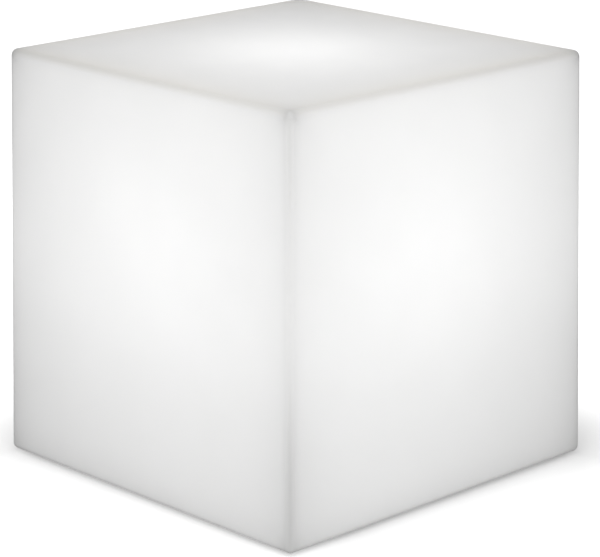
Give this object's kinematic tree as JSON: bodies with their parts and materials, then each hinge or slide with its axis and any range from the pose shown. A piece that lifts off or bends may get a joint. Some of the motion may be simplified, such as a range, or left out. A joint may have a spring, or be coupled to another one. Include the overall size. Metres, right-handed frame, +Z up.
{
  "type": "outdoor cube floor lamp",
  "caption": "Cordless outdoor floor lamp: a glowing moulded cube with a twist-lock light unit, push button and covered charging socket in its recessed base.",
  "frame": {"origin": "centre of the footprint, on the surface that the feet stand on", "axes": "+Z up, the cube's side faces look along X and Y, the grip bar under the base lies along X"},
  "size_m": [0.4048, 0.4048, 0.412],
  "materials": {
    "shell_polyethylene": "satin, translucent, lit from inside",
    "housing_plastic": "fine moulded texture",
    "ring_plastic": "fine moulded texture",
    "rubber": "matte",
    "silicone": "soft sheen",
    "foam": "open cell",
    "brass": "turned",
    "stainless": "bright",
    "aluminium": "extruded, satin",
    "nickel": "bright",
    "circuit_board": "solder mask",
    "white_board": "white solder mask",
    "chip_black": "moulded epoxy",
    "led_phosphor": "phosphor gel",
    "cell_wrap": "shrink film",
    "opal_polycarbonate": "opal",
    "clear_polycarbonate": "polished",
    "terminal_plastic": "moulded",
    "lead_red": "silicone insulation",
    "lead_black": "silicone insulation",
    "button_plastic": "soft matte"
  },
  "bodies": {
    "shell": {"cube_shell": "shell_polyethylene", "rubber_feet": "rubber", "threaded_inserts": "brass", "ring_gasket": "silicone", "locking_ring": "ring_plastic", "ring_screws": "stainless"},
    "light_unit": {"module_base": "housing_plastic", "module_o_ring": "silicone", "control_board": "circuit_board", "board_screws": "stainless", "board_components": "chip_black", "battery_terminals": "terminal_plastic", "led_terminals": "terminal_plastic", "tact_switch": "chip_black", "button_spring": "stainless", "status_light_pipe": "clear_polycarbonate", "charge_jack": "chip_black", "jack_contact_pin": "nickel", "port_hinge_pin": "stainless", "pressure_vent": "ring_plastic", "vent_nut": "ring_plastic", "battery_tray": "housing_plastic", "tray_screws": "stainless", "battery_cells": "cell_wrap", "cell_tabs": "nickel", "battery_pads": "foam", "battery_lead_positive": "lead_red", "battery_lead_negative": "lead_black", "led_lead_positive": "lead_red", "led_lead_negative": "lead_black", "lead_grommet": "rubber", "deck_plate": "housing_plastic", "deck_seal": "silicone", "deck_screws": "stainless", "light_post": "aluminium", "post_screws": "stainless", "led_strips": "white_board", "led_chips": "led_phosphor", "top_led_board": "white_board", "top_led_chips": "led_phosphor", "light_diffuser": "opal_polycarbonate", "diffuser_seal": "silicone", "diffuser_screws": "stainless"},
    "button": {"power_button": "button_plastic", "switch_plunger": "terminal_plastic"},
    "cover": {"port_cover": "button_plastic", "port_pad": "silicone"}
  },
  "joints": [
    {"name": "unit_twist", "type": "hinge", "parent": "shell", "child": "light_unit", "pos_m": [0, 0, 0.0245], "axis": [0, 0, -1], "range_deg": [0, 40]},
    {"name": "button_press", "type": "slide", "parent": "light_unit", "child": "button", "axis": [0, 0, 1], "range_m": [0, 0.001], "stiffness_N_per_m": 800, "springref_m": -0.0015, "deforming": ["button_spring"]},
    {"name": "cover_swing", "type": "hinge", "parent": "light_unit", "child": "cover", "pos_m": [0, -0.05039, 0.0212], "axis": [-1, 0, 0], "range_deg": [0, 90]}
  ]
}
